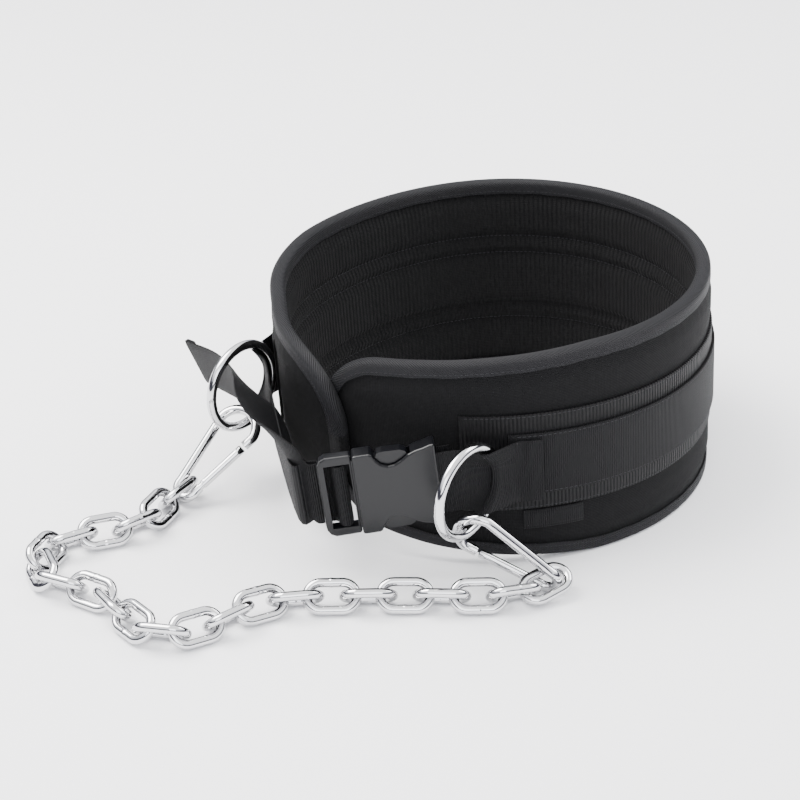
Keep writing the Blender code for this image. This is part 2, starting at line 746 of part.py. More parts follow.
def hook_layout(side):
    """Apex, direction to the small end, width direction and normal of a hook hung on its ring."""
    centre, away = ring_layout(side)
    up = Vector((0.0, 0.0, 1.0))
    turn, heading, lift = HOOK_PLACE[side]
    tangent = away * math.cos(turn) + up * math.sin(turn)
    hold = centre + (away * math.sin(turn) - up * math.cos(turn)) * (RING_OUTER - RING_WIRE) / 2.0
    touching = (RING_WIRE + HOOK_WIRE) / 2.0 + 2.0 * GAP
    length = HOOK_LENGTH - HOOK_WIRE
    apex, tip_height = hold + up * touching, HOOK_WIRE
    for _ in range(20):
        drop = apex.z - tip_height
        level = math.sqrt(length ** 2 - drop ** 2)
        along = Vector((math.cos(heading) * level, math.sin(heading) * level, -drop)) / length
        normal = (away - along * away.dot(along)).normalized()
        across = normal.cross(along)
        toward = tangent.cross(across).normalized()
        apex = hold + toward * touching * (1.0 if toward.dot(along) < 0.0 else -1.0)
        across *= HOOK_GATE_SIDE[side]
        lowest = min(point.z for point in hook_path(apex, along, across)) - HOOK_WIRE / 2.0
        tip_height -= lowest - GAP - lift
    return apex, along, across, normal


def hook_arcs():
    """Radii of the wire's middle line at the two ends, their distance, and the sides' slope."""
    big = (HOOK_BIG_WIDTH - HOOK_WIRE) / 2.0
    small = (HOOK_SMALL_WIDTH - HOOK_WIRE) / 2.0
    between = HOOK_LENGTH - HOOK_WIRE - big - small
    return big, small, between, math.asin((big - small) / between)


def hook_path(apex, along, across):
    """The body's middle line: from the gate's nose, round the big end, down the back side."""
    big, small, between, slope = hook_arcs()
    side_length = between * math.cos(slope)
    share_hinge = 1.0 - GATE_FROM / side_length
    share_nose = 1.0 - (GATE_FROM + GATE_LENGTH + NOSE_GAP) / side_length

    def at(x, y):
        return apex + along * x + across * y

    def on_side(share, sign):
        start = (big - big * math.sin(slope), big * math.cos(slope))
        end = (big + between - small * math.sin(slope), small * math.cos(slope))
        return at(start[0] + share * (end[0] - start[0]),
                  sign * (start[1] + share * (end[1] - start[1])))

    points = [on_side(share_nose, 1.0)]
    for i in range(9):
        turn = math.pi / 2.0 + slope + (math.pi - 2.0 * slope) * i / 8
        points.append(at(big + big * math.cos(turn), big * math.sin(turn)))
    points.append(on_side(0.5, -1.0))
    for i in range(9):
        turn = -math.pi / 2.0 - slope + (math.pi + 2.0 * slope) * i / 8
        points.append(at(big + between + small * math.cos(turn), small * math.sin(turn)))
    points.append(on_side(share_hinge + TONGUE_BACK / side_length, 1.0))
    return points


def gate_line(side):
    """The gate's hinge point and its direction to the nose."""
    apex, along, across, _ = hook_layout(side)
    path = hook_path(apex, along, across)
    toward = (path[0] - path[-1]).normalized()
    return path[-1] + toward * TONGUE_BACK, toward


def make_hook(side, surface):
    """The hook's wire body, with a drilled tongue for the gate's pin."""
    apex, along, across, normal = hook_layout(side)
    name = "hook_right" if side > 0 else "hook_left"
    body = tube(name, hook_path(apex, along, across), HOOK_WIRE / 2.0, HOOK_SIDES, normal, surface)
    hinge, toward = gate_line(side)
    frame = hinge_frame(hinge, toward, normal)
    half = TONGUE_THICKNESS / 2.0
    reach = HOOK_WIRE * 0.36
    outline = [(-TONGUE_BACK - 0.0012, -reach), (0.0, -reach), (reach * 0.7, -reach * 0.7),
               (reach, 0.0), (reach * 0.7, reach * 0.7), (0.0, reach), (-TONGUE_BACK - 0.0012, reach)]
    tongue = hide(plate(name + "_tongue", outline, -half, half, surface))
    hole = pin(name + "_hole", PIN_RADIUS + PIN_ROOM, HOOK_WIRE)
    tongue.matrix_world = frame
    hole.matrix_world = frame
    combine(body, tongue, "UNION")
    combine(body, hole, "DIFFERENCE")
    return body


def hinge_frame(hinge, toward, normal):
    """Axes at the gate's pin: x to the nose, y along the pin."""
    third = toward.cross(normal)
    return Matrix((
        (toward.x, normal.x, third.x, hinge.x),
        (toward.y, normal.y, third.y, hinge.y),
        (toward.z, normal.z, third.z, hinge.z),
        (0.0, 0.0, 0.0, 1.0),
    ))


def pin(name, radius, length):
    """A pin along y."""
    work = bmesh.new()
    turned = Matrix.Rotation(math.pi / 2.0, 4, "X")
    bmesh.ops.create_cone(work, cap_ends=True, segments=12, radius1=radius, radius2=radius,
                          depth=length, matrix=turned)
    return hide(new_object(name, work, None))


def make_gate(side, surface):
    """The sprung gate: a rod slotted over the tongue, with its pin."""
    _, _, _, normal = hook_layout(side)
    hinge, toward = gate_line(side)
    name = "gate_right" if side > 0 else "gate_left"
    radius = HOOK_WIRE / 2.0 - GAP
    work = bmesh.new()
    length = GATE_LENGTH + GATE_HEEL
    turned = (Matrix.Translation((length / 2.0 - GATE_HEEL, 0.0, 0.0))
              @ Matrix.Rotation(math.pi / 2.0, 4, "Y"))
    bmesh.ops.create_cone(work, cap_ends=True, segments=10, radius1=radius, radius2=radius,
                          depth=length, matrix=turned)
    rod = new_object(name, work, surface)
    half = TONGUE_THICKNESS / 2.0 + PIN_ROOM
    combine(rod, box_cutter(name + "_slot", (-0.010, -half, -0.010),
                            (HOOK_WIRE * 0.36 + 0.0008, half, 0.010)), "DIFFERENCE")
    combine(rod, pin(name + "_pin", PIN_RADIUS, 2.0 * (half + 0.0008)), "UNION")
    rod.matrix_world = hinge_frame(hinge, toward, normal)
    for step in rod.modifiers:
        step.object.matrix_world = rod.matrix_world
    return rod


# Chain


def smooth_route(points, steps=12):
    """A smooth curve through the route's points."""
    ends = [points[0] * 2.0 - points[1]] + points + [points[-1] * 2.0 - points[-2]]
    made = []
    for p0, p1, p2, p3 in zip(ends, ends[1:], ends[2:], ends[3:]):
        for i in range(steps):
            u = i / steps
            made.append(0.5 * (2.0 * p1 + (p2 - p0) * u + (2.0 * p0 - 5.0 * p1 + 4.0 * p2 - p3) * u * u
                               + (3.0 * p1 - p0 - 3.0 * p2 + p3) * u ** 3))
    return made + [points[-1]]


def link_axes(heading, pitch, roll):
    """A link's long direction and its direction across, for its heading, pitch and roll."""
    level_along = Vector((math.cos(heading), math.sin(heading), 0.0))
    up = Vector((0.0, 0.0, 1.0))
    along = level_along * math.cos(pitch) + up * math.sin(pitch)
    level = up.cross(level_along)
    return along, level * math.cos(roll) + along.cross(level) * math.sin(roll)


def end_link(side):
    """Centre, outward direction and across direction of the link held in a hook's small end."""
    turn, heading, pitch, roll, reach, rise = END_LINKS[side]
    apex, hook_along, hook_across, _ = hook_layout(side)
    _, small, _, _ = hook_arcs()
    middle = apex + hook_along * (HOOK_LENGTH - HOOK_WIRE - small)
    held = middle + small * (hook_along * math.cos(turn) - hook_across * math.sin(turn))
    along, across = link_axes(heading, pitch, roll)
    return held + along * reach + across * rise, along, across


def chain_layout():
    """Centre, direction and across direction of every link, from the left hook to the right."""
    reach = (LINK_LENGTH - LINK_WIRE) / 2.0 - JOINT_TO_WIRE
    first, last = end_link(-1), end_link(1)
    joints = [first[0] + first[1] * reach, last[0] + last[1] * reach]
    route = smooth_route([joints[0]] + [Vector(point) for point in CHAIN_ROUTE] + [joints[1]])
    arcs = [0.0]
    for before, after in zip(route, route[1:]):
        arcs.append(arcs[-1] + (after - before).length)
    count = 2 * round((arcs[-1] / LINK_PITCH - 1.0) / 2.0) + 1
    places = []
    for i in range(count + 1):
        want = arcs[-1] * i / count
        k = min(max(bisect_left(arcs, want), 1), len(arcs) - 1)
        share = (want - arcs[k - 1]) / (arcs[k] - arcs[k - 1])
        places.append(route[k - 1].lerp(route[k], share))
    made = [first]
    for i, (start, end) in enumerate(zip(places, places[1:])):
        step = end - start
        along, across = link_axes(math.atan2(step.y, step.x),
                                  math.asin(step.z / step.length),
                                  LINK_ROLL if i % 2 else -LINK_ROLL)
        centre = (start + end) / 2.0
        centre.z = max(centre.z, LINK_REST)
        made.append((centre, along, across))
    return made + [last]


def link_points(centre, along, across):
    """The middle line of one oval link."""
    radius = (LINK_WIDTH - LINK_WIRE) / 2.0
    straight = (LINK_LENGTH - LINK_WIDTH) / 2.0
    points = []
    for end in (1.0, -1.0):
        for i in range(LINK_ROUND):
            turn = math.pi * (0.5 - i / (LINK_ROUND - 1))
            points.append(centre + end * (along * (straight + radius * math.cos(turn))
                                          + across * radius * math.sin(turn)))
    return points


def make_chain(surface):
    """The chain's oval links, each turned a quarter from the last."""
    for i, (centre, along, across) in enumerate(chain_layout()):
        tube(f"chain_link_{i + 1:02d}", link_points(centre, along, across), LINK_WIRE / 2.0,
             LINK_SIDES, along.cross(across), surface, closed=True)


def rest_on_origin():
    """Put the middle of the whole object's box above the origin."""
    graph = bpy.context.evaluated_depsgraph_get()
    pieces = [item for item in bpy.data.objects if item.type == "MESH"]
    corners = []
    for item in pieces:
        if item.hide_render:
            continue
        seen = item.evaluated_get(graph)
        corners += [item.matrix_world @ Vector(corner) for corner in seen.bound_box]
    middle = Vector([(min(p[k] for p in corners) + max(p[k] for p in corners)) / 2.0
                     for k in range(2)] + [0.0])
    for item in pieces:
        item.matrix_world = Matrix.Translation(-middle) @ item.matrix_world


def remove_all():
    """Clear the scene's objects."""
    for item in list(bpy.data.objects):
        bpy.data.objects.remove(item, do_unlink=True)


def main():
    """Build every piece."""
    remove_all()
    cloth = material("black_cloth", (0.014, 0.014, 0.016), 0.85)
    mesh_cloth = material("black_mesh", (0.010, 0.010, 0.011), 0.9)
    tape = material("grey_tape", (0.035, 0.035, 0.040), 0.75)
    webbing = material("black_webbing", (0.020, 0.020, 0.023), 0.7)
    plastic = material("black_plastic", (0.030, 0.030, 0.034), 0.4)
    metal = material("bright_metal", (0.80, 0.79, 0.77), 0.15, 1.0)
    make_pad(cloth)
    make_lining(mesh_cloth)
    make_tapes(tape)
    band_out = BAND_SEAT + GAP
    band_low = BAND_MIDDLE - BAND_WIDTH / 2.0
    sewn_strip("backing_band", -BAND_END, BAND_END, band_out, band_low, band_low + BAND_WIDTH,
               BAND_THICKNESS, webbing)
    strap_out = band_out + BAND_THICKNESS + GAP
    strap_low = STRAP_MIDDLE - STRAP_WIDTH / 2.0
    sewn_strip("main_strap", -STRAP_END, STRAP_END, strap_out, strap_low, strap_low + STRAP_WIDTH,
               STRAP_THICKNESS, webbing)
    make_label(webbing)
    make_buckle_strap(webbing)
    make_adjusting_strap(webbing)
    make_female(plastic)
    make_male(plastic)
    for side in (1, -1):
        make_ring(side, metal)
        make_hook(side, metal)
        make_gate(side, metal)
    make_chain(metal)
    rest_on_origin()


main()
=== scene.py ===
import json
import math
import random
from bisect import bisect_left

import bpy
import numpy as np
from mathutils import Matrix, Vector


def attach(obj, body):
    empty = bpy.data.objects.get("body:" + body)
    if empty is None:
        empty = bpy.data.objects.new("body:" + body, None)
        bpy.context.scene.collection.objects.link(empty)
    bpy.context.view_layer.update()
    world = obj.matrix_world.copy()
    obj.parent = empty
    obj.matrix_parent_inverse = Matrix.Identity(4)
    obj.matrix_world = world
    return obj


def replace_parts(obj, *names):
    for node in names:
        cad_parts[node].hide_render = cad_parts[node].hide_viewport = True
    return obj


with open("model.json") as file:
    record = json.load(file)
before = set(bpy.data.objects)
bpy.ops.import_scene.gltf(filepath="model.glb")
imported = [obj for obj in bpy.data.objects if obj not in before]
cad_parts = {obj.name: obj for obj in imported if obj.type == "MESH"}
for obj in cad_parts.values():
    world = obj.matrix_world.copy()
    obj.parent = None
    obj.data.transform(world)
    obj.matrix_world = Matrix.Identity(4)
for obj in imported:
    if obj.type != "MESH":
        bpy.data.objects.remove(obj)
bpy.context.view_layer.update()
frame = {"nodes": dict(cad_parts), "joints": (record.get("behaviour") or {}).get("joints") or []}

nodes = frame["nodes"]
UP = Vector((0.0, 0.0, 1.0))
QUARTER = math.pi / 2.0
# From the middle of the belt's loop to the part's own origin
SHIFT = Vector((0.005863, -0.092542, 0.0))

# Padded wall: lengths, and the two waves that make its loop longer than wide
PAD_LENGTH, PAD_HEIGHT, END_OVERLAP = 0.970, 0.158, 0.027
LOBE_2, LOBE_2_AT = 0.065, math.radians(84.0)
LOBE_3, LOBE_3_AT = 0.013, math.radians(3.3)
BOTTOM_LEAN, BOTTOM_FLARE = Vector((0.0096, 0.0030)), -0.0021
RIM_HALF, TAPE, FLAP = 0.0053, 0.0008, 0.0100
BAND_SEAT, LINING_SWELL, CHANNEL = 0.0050, 0.0030, 0.0029
ROUND_LENGTH, ROUND_HEIGHT, END_LIFT = 0.052, 0.056, 0.0118
WALL_INSET, EASE_IN = 0.0032, 0.011
# Share of the half length, then how far the upper and lower edges come in
EDGE_TABLE = (
    (0.00, 0.0000, 0.0000), (0.60, 0.0000, 0.0000), (0.74, 0.0040, 0.0060),
    (0.84, 0.0075, 0.0125), (0.90, 0.0105, 0.0175), (1.00, 0.0125, 0.0215),
)
# Webbing
BAND_LOW, BAND_HIGH, BAND_END, BAND_THICK = 0.04325, 0.11475, 0.383, 0.0017
STRAP_WIDE, STRAP_MIDDLE, STRAP_END, STRAP_THICK = 0.0456, 0.0782, 0.352, 0.0018
STRAP_LOW, STRAP_HIGH = STRAP_MIDDLE - STRAP_WIDE / 2.0, STRAP_MIDDLE + STRAP_WIDE / 2.0
GAP = 0.0003
RING_RADIUS, RING_WIRE, RING_AT, RING_AHEAD = 0.031, 0.0070, 0.361, 0.0065
RING_HEIGHT = {1: 0.0745, -1: 0.0780}
RING_HEADING = {1: math.radians(-85.0), -1: math.radians(-87.0)}
SEAM_IN = 0.0015
HOLDER_STATIONS = (0.330, 0.338, 0.346)
WRAP_TURNS = (138.0, 104.0, 70.0, 40.0)
SHARES = (-0.5, -0.25, 0.0, 0.25, 0.5)
# Load strap behind the overlap: station, distance out and drop
LOAD_TABLE = ((0.383, 0.0145, 0.0010), (0.400, 0.0128, 0.0025), (0.418, 0.0135, 0.0045))
# Free tail from the left ring: to the left, to the front, up, and lean in degrees
TAIL_TABLE = (
    (-0.116, 0.057, -0.0035, 8.0), (-0.098, 0.054, 0.0085, 30.0), (-0.080, 0.048, 0.0165, 50.0),
    (-0.057, 0.038, 0.0215, 55.0), (-0.030, 0.020, 0.0160, 42.0), (0.000, 0.0015, 0.0010, 27.0),
    (0.026, -0.005, -0.0015, 22.0), (0.056, -0.006, -0.0025, 25.0),
)
# Buckle
BUCKLE_STAND, BUCKLE_START, BUCKLE_HEIGHT = 0.0168, 0.0380, 0.0745
BUCKLE_DROOP = math.radians(7.5)
SOCKET_BAR, PLUG_BAR, BAR_HALF = 0.0045, 0.0648, 0.0026
BAR_WRAP = BAR_HALF + 2.0 * GAP + STRAP_THICK / 2.0
# Snap hooks
HOOK_BIG, HOOK_SMALL, HOOK_BETWEEN, HOOK_HALF = 0.0155, 0.0075, 0.054, 0.0035
GATE_FROM, GATE_LENGTH, NOSE_GAP, NOSE_LONG = 0.0090, 0.0360, 0.0006, 0.004
# Chain links: middle radius of the ends, half of the straight part, and half of the wire
LINK_RADIUS, LINK_STRAIGHT, LINK_HALF = 0.0093, 0.00725, 0.0032
WELD_SWELL, WELD_SHARE = 0.07, 0.07
FLOOR_HALF = 6.0


def material(name, colour, rough, metallic=0.0, shine=0.5):
    """A plain surface of one colour."""
    made = bpy.data.materials.new(name)
    made.use_nodes = True
    shader = made.node_tree.nodes["Principled BSDF"]
    shader.inputs["Base Color"].default_value = (*colour, 1.0)
    shader.inputs["Roughness"].default_value = rough
    shader.inputs["Metallic"].default_value = metallic
    shader.inputs["Specular IOR Level"].default_value = shine
    return made


def scaled(tree, value, factor):
    """A socket's value times a factor."""
    size = tree.nodes.new("ShaderNodeMath")
    size.operation = "MULTIPLY"
    size.inputs[1].default_value = factor
    tree.links.new(value, size.inputs[0])
    return size.outputs[0]


def added(tree, first, second):
    """Two heights together; the first may be missing."""
    if first is None:
        return second
    both = tree.nodes.new("ShaderNodeMath")
    tree.links.new(first, both.inputs[0])
    tree.links.new(second, both.inputs[1])
    return both.outputs[0]


def add_bumps(surface, waves, grain):
    """Woven ribs from (turn, period, height) waves over UV in metres, and a fine grain."""
    tree = surface.node_tree
    shader = tree.nodes["Principled BSDF"]
    coordinates = tree.nodes.new("ShaderNodeTexCoord")
    total = None
    for turn, period, height in waves:
        spin = tree.nodes.new("ShaderNodeMapping")
        spin.inputs["Rotation"].default_value[2] = turn
        wave = tree.nodes.new("ShaderNodeTexWave")
        wave.inputs["Scale"].default_value = 0.31416 / period
        wave.inputs["Distortion"].default_value = 0.0
        tree.links.new(coordinates.outputs["UV"], spin.inputs["Vector"])
        tree.links.new(spin.outputs["Vector"], wave.inputs["Vector"])
        total = added(tree, total, scaled(tree, wave.outputs["Fac"], height))
    noise = tree.nodes.new("ShaderNodeTexNoise")
    noise.inputs["Scale"].default_value = grain[0]
    noise.inputs["Detail"].default_value = 3.0
    tree.links.new(coordinates.outputs["Object"], noise.inputs["Vector"])
    total = added(tree, total, scaled(tree, noise.outputs["Fac"], grain[1]))
    bump = tree.nodes.new("ShaderNodeBump")
    bump.inputs["Strength"].default_value = 1.0
    bump.inputs["Distance"].default_value = 1.0
    tree.links.new(total, bump.inputs["Height"])
    tree.links.new(bump.outputs["Normal"], shader.inputs["Normal"])
    return surface


cloth = add_bumps(material("cloth", (0.0022, 0.0022, 0.0027), 0.78, shine=0.16),
                  ((0.0, 0.0012, 0.00022), (QUARTER, 0.0012, 0.00022)), (300.0, 0.0006))
mesh_cloth = add_bumps(material("mesh_cloth", (0.0020, 0.0020, 0.0024), 0.8, shine=0.22),
                       ((0.0, 0.0036, 0.0012), (QUARTER, 0.0014, 0.0003)), (900.0, 0.0005))
tape_cloth = add_bumps(material("tape_cloth", (0.0075, 0.0075, 0.0090), 0.6, shine=0.22),
                       ((math.radians(50.0), 0.0013, 0.00045),), (700.0, 0.0002))
band_cloth = add_bumps(material("band_cloth", (0.0024, 0.0024, 0.0030), 0.55, shine=0.22),
                       ((0.0, 0.0027, 0.0011), (QUARTER, 0.0009, 0.00015)), (800.0, 0.0002))
strap_cloth = add_bumps(material("strap_cloth", (0.0034, 0.0034, 0.0042), 0.6, shine=0.18),
                        ((0.0, 0.0015, 0.00055), (QUARTER, 0.0008, 0.00015)), (800.0, 0.0002))
thread = material("thread", (0.013, 0.013, 0.016), 0.5, shine=0.3)
plastic = add_bumps(material("plastic", (0.0024, 0.0026, 0.0036), 0.3, shine=0.3), (),
                    (2500.0, 0.00003))
metal = add_bumps(material("metal", (0.60, 0.60, 0.61), 0.07, 1.0), (), (90.0, 0.00012))


def finish_mesh(name, points, faces, uvs, surface, body="belt"):
    """A smooth object on a body of the frame, with UVs in metres."""
    mesh = bpy.data.meshes.new(name)
    mesh.from_pydata([tuple(point) for point in points], [], faces)
    if uvs:
        layer = mesh.uv_layers.new(name="UVMap")
        for loop in mesh.loops:
            layer.data[loop.index].uv = uvs[loop.vertex_index]
    mesh.shade_smooth()
    mesh.materials.append(surface)
    made = bpy.data.objects.new(name, mesh)
    bpy.context.scene.collection.objects.link(made)
    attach(made, body)
    return made


def sweep(name, rings, surface, loop_ways=False, round_ways=True, body="belt"):
    """A surface through rings of points, capped where it is open; UVs follow real lengths."""
    count = len(rings[0])
    points = [point for ring in rings for point in ring]
    middle = count // 4
    along = [0.0]
    for first, second in zip(rings, rings[1:]):
        along.append(along[-1] + (second[middle] - first[middle]).length)
    around = [0.0]
    half = rings[len(rings) // 2]
    for first, second in zip(half, half[1:]):
        around.append(around[-1] + (second - first).length)
    uvs = [(u, v) for u in along for v in around]
    faces = []
    rows = len(rings)
    for i in range(rows if loop_ways else rows - 1):
        k = (i + 1) % rows
        for j in range(count if round_ways else count - 1):
            m = (j + 1) % count
            faces.append((i * count + j, i * count + m, k * count + m, k * count + j))
    if round_ways and not loop_ways:
        faces.append(tuple(reversed(range(count))))
        faces.append(tuple(range((rows - 1) * count, rows * count)))
    made = finish_mesh(name, points, faces, uvs, surface, body)
    made.data.set_sharp_from_angle(angle=math.radians(50.0))
    return made


# Plan of the belt


def table_value(at, column):
    """A column of the edge table between its rows."""
    keys = [row[0] for row in EDGE_TABLE]
    i = min(max(bisect_left(keys, at), 1), len(keys) - 1)
    share = min(max((at - keys[i - 1]) / (keys[i] - keys[i - 1]), 0.0), 1.0)
    return EDGE_TABLE[i - 1][column] + share * (EDGE_TABLE[i][column] - EDGE_TABLE[i - 1][column])


def ease(share):
    """A smooth step from 0 to 1."""
    share = min(max(share, 0.0), 1.0)
    return share * share * (3.0 - 2.0 * share)


def plan_shape(angle):
    """The loop's radius at an angle, with a mean of 1."""
    return (1.0 + LOBE_2 * math.cos(2.0 * (angle - LOBE_2_AT))
            + LOBE_3 * math.cos(3.0 * (angle - LOBE_3_AT)))


def measure_plan(steps=1440):
    """Lengths along the loop's outline from its back, for a mean radius of 1."""
    arcs = [0.0]
    last = None
    for i in range(steps + 1):
        angle = QUARTER - 2.0 * math.pi * i / steps
        here = Vector((math.cos(angle), math.sin(angle))) * plan_shape(angle)
        if last is not None:
            arcs.append(arcs[-1] + (here - last).length)
        last = here
    return arcs


UNIT_ARCS = measure_plan()
GIRTH = PAD_LENGTH - END_OVERLAP
MEAN_RADIUS = GIRTH / UNIT_ARCS[-1]
HALF = PAD_LENGTH / 2.0


def plan_frame(s):
    """Point, outward direction and forward direction of the loop at a station."""
    want = (s % GIRTH) / MEAN_RADIUS
    i = min(max(bisect_left(UNIT_ARCS, want), 1), len(UNIT_ARCS) - 1)
    share = (want - UNIT_ARCS[i - 1]) / (UNIT_ARCS[i] - UNIT_ARCS[i - 1])
    angle = QUARTER - 2.0 * math.pi * (i - 1 + share) / (len(UNIT_ARCS) - 1)
    step = 0.001
    point = Vector((math.cos(angle), math.sin(angle))) * plan_shape(angle) * MEAN_RADIUS
    ahead = Vector((math.cos(angle - step), math.sin(angle - step))) * plan_shape(angle - step)
    behind = Vector((math.cos(angle + step), math.sin(angle + step))) * plan_shape(angle + step)
    along = (ahead - behind).normalized()
    return point, Vector((-along.y, along.x)), along


def place(s, out, z):
    """A point of the belt in the row frame."""
    point, normal, _ = plan_frame(s)
    low = 1.0 - z / PAD_HEIGHT
    overlap = GIRTH - HALF
    lift = END_LIFT * ease((-s - 0.83 * overlap) / (0.165 * overlap))
    flat = point + normal * (out + lift + BOTTOM_FLARE * low) + BOTTOM_LEAN * low
    return Vector((flat.x, flat.y, z)) - SHIFT


def edge_height(s, top, inset):
    """Height of the upper or lower edge, some way in from it."""
    share = abs(s) / HALF
    if top:
        return PAD_HEIGHT - table_value(share, 1) - inset
    return table_value(share, 2) + inset


def rim_point(at, top, inset):
    """Station and height on the edge; past 1 the edge turns round the end."""
    straight = HALF - ROUND_LENGTH
    if abs(at) <= 1.0:
        return at * straight, edge_height(at * straight, top, inset)
    turn = (abs(at) - 1.0) * math.pi / 2.0
    reach = straight + (ROUND_LENGTH - inset) * math.sin(turn)
    drop = (ROUND_HEIGHT - inset) * (1.0 - math.cos(turn))
    rim = edge_height(straight + ROUND_LENGTH * math.sin(turn), top, inset)
    return math.copysign(reach, at), rim - drop if top else rim + drop


def stations(along=240, turns=26):
    """Even places along the edge, then round both ends."""
    middle = [-1.0 + 2.0 * i / along for i in range(along + 1)]
    ends = [1.0 + (i + 1) / turns for i in range(turns)]
    return [-value for value in reversed(ends)] + middle + ends


def edge_distance(s, z):
    """Distance in from the nearest edge."""
    low, high = edge_height(s, False, 0.0), edge_height(s, True, 0.0)
    straight = HALF - ROUND_LENGTH
    nearest = min(z - low, high - z)
    if abs(s) > straight:
        along = min((abs(s) - straight) / ROUND_LENGTH, 1.0)
        across = max(1.0 - nearest / ROUND_HEIGHT, 0.0)
        nearest = min(nearest, (1.0 - math.hypot(along, across)) * ROUND_LENGTH)
    return max(nearest, 0.0)


ROWS = (BAND_LOW + SEAM_IN, STRAP_LOW + SEAM_IN, STRAP_HIGH - SEAM_IN, BAND_HIGH - SEAM_IN)
FACE = RIM_HALF - TAPE - 2.0 * GAP


def pucker(s, distance):
    """Small gathers where cloth is sewn under the tape."""
    fade = math.exp(-max(distance - FLAP, 0.0) / 0.007)
    return fade * (math.sin(s * 560.0) + 0.6 * math.sin(s * 913.0 + 1.3)) * 0.00022


def outer_face(s, z):
    """The wall's outside, flat under the tape and fuller round the band."""
    distance = edge_distance(s, z)
    away = ease((distance - FLAP) / EASE_IN)
    swell = 0.0009 * ease((abs(z - 0.079) - 0.036) / 0.012)
    return FACE + away * (BAND_SEAT - FACE + swell) + pucker(s, distance) * min(away * 4.0, 1.0)


def inner_face(s, z):
    """The lining's face, pinched in at the sewn rows."""
    distance = edge_distance(s, z)
    away = ease((distance - FLAP) / EASE_IN)
    row = min(abs(z - stitch) for stitch in ROWS)
    pinch = CHANNEL * (1.0 - ease(row / 0.006))
    wave = 0.0002 * math.sin(s * 210.0 + 40.0 * z)
    return -FACE - away * (LINING_SWELL - pinch + wave)


def wall(name, face, back, surface, rows=44):
    """One face of the padded wall, closed at the back."""
    rings = []
    for at in stations():
        low = rim_point(at, False, WALL_INSET)[1]
        s, high = rim_point(at, True, WALL_INSET)
        levels = [low + (high - low) * i / rows for i in range(rows + 1)]
        ring = [place(s, face(s, z), z) for z in levels]
        rings.append(ring + [place(s, back, high), place(s, back, low)])
    made = sweep(name, rings, surface)
    return made


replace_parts(wall("padded_wall", outer_face, -0.0012, cloth), "belt_pad")
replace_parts(wall("ribbed_lining", inner_face, -0.0018, mesh_cloth),
            "inner_lining")


def make_binding():
    """Folded tape, with a round crown and a slightly wavy sewn edge."""
    section = [(FLAP, RIM_HALF - TAPE), (FLAP, RIM_HALF - 0.0002), (FLAP - 0.0006, RIM_HALF),
               (0.0078, RIM_HALF - 0.00012), (0.0066, RIM_HALF - 0.00002), (0.0045, RIM_HALF)]
    for i in range(1, 12):
        turn = math.pi * i / 12
        section.append((0.0036 * (1.0 - math.sin(turn) ** 0.8), RIM_HALF * math.cos(turn)))
    section += [(inward, -out) for inward, out in reversed(section[:6])]
    values = stations()
    rings = []
    path = [(at, True) for at in values] + [(at, False) for at in reversed(values)]
    for i, (at, top) in enumerate(path):
        ring = []
        for inward, out in section:
            wavy = 0.00022 * math.sin(i * 0.9) if inward > 0.009 else 0.0
            s, z = rim_point(at, top, inward + wavy)
            ring.append(place(s, out, z))
        rings.append(ring)
    made = sweep("binding", rings, tape_cloth, loop_ways=True, round_ways=False)
    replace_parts(made, "top_binding", "bottom_binding")


make_binding()


def strip(name, s0, s1, out, low, high, thick, surface, node):
    """A strip sewn flat, with soft edges."""
    count = max(int((s1 - s0) / 0.004), 6)
    wide = 22
    rings = []
    for i in range(count + 1):
        s = s0 + (s1 - s0) * i / count
        tucked = 0.0003 if i in (0, count) else 0.0
        ring = []
        for j in range(wide + 1):
            share = j / wide
            z = low + (high - low) * share
            edge = min(share, 1.0 - share) * (high - low)
            sunk = 0.00035 * (1.0 - ease(edge / 0.0009)) + tucked
            seam = 0.00025 * math.exp(-((edge - SEAM_IN) / 0.0007) ** 2)
            ring.append(place(s, out + thick - sunk - seam, z))
        ring += [place(s, out, high), place(s, out, low)]
        rings.append(ring)
    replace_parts(sweep(name, rings, surface), node)


BAND_OUT = BAND_SEAT + GAP
STRAP_OUT = BAND_OUT + BAND_THICK + GAP
strip("ribbed_band", -BAND_END, BAND_END, BAND_OUT, BAND_LOW, BAND_HIGH, BAND_THICK, band_cloth,
      "backing_band")
strip("ribbed_strap", -STRAP_END, STRAP_END, STRAP_OUT, STRAP_LOW, STRAP_HIGH, STRAP_THICK,
      strap_cloth, "main_strap")
strip("bare_label", 0.301, 0.343, BAND_SEAT + 0.0006 + GAP, 0.0275, 0.0415, 0.0008, strap_cloth,
      "label_patch")


def stitch_run(name, where, length, pitch=0.0034, long=0.0024, radius=0.00028):
    """A row of short stitches; where(distance) gives a point on the cloth."""
    points, faces = [], []
    count = int(length / pitch)
    for i in range(count):
        start, end = where(i * pitch), where(i * pitch + long)
        way = (end - start).normalized()
        side = way.orthogonal().normalized()
        third = way.cross(side)
        base = len(points)
        for share, size in ((0.0, 0.35), (0.25, 1.0), (0.75, 1.0), (1.0, 0.35)):
            middle = start.lerp(end, share)
            for k in range(6):
                turn = math.pi * k / 3.0
                points.append(middle + (side * math.cos(turn) + third * math.sin(turn))
                              * radius * size)
        for r in range(3):
            for k in range(6):
                m = (k + 1) % 6
                faces.append((base + r * 6 + k, base + r * 6 + m,
                              base + r * 6 + 6 + m, base + r * 6 + 6 + k))
    finish_mesh(name, points, faces, None, thread)


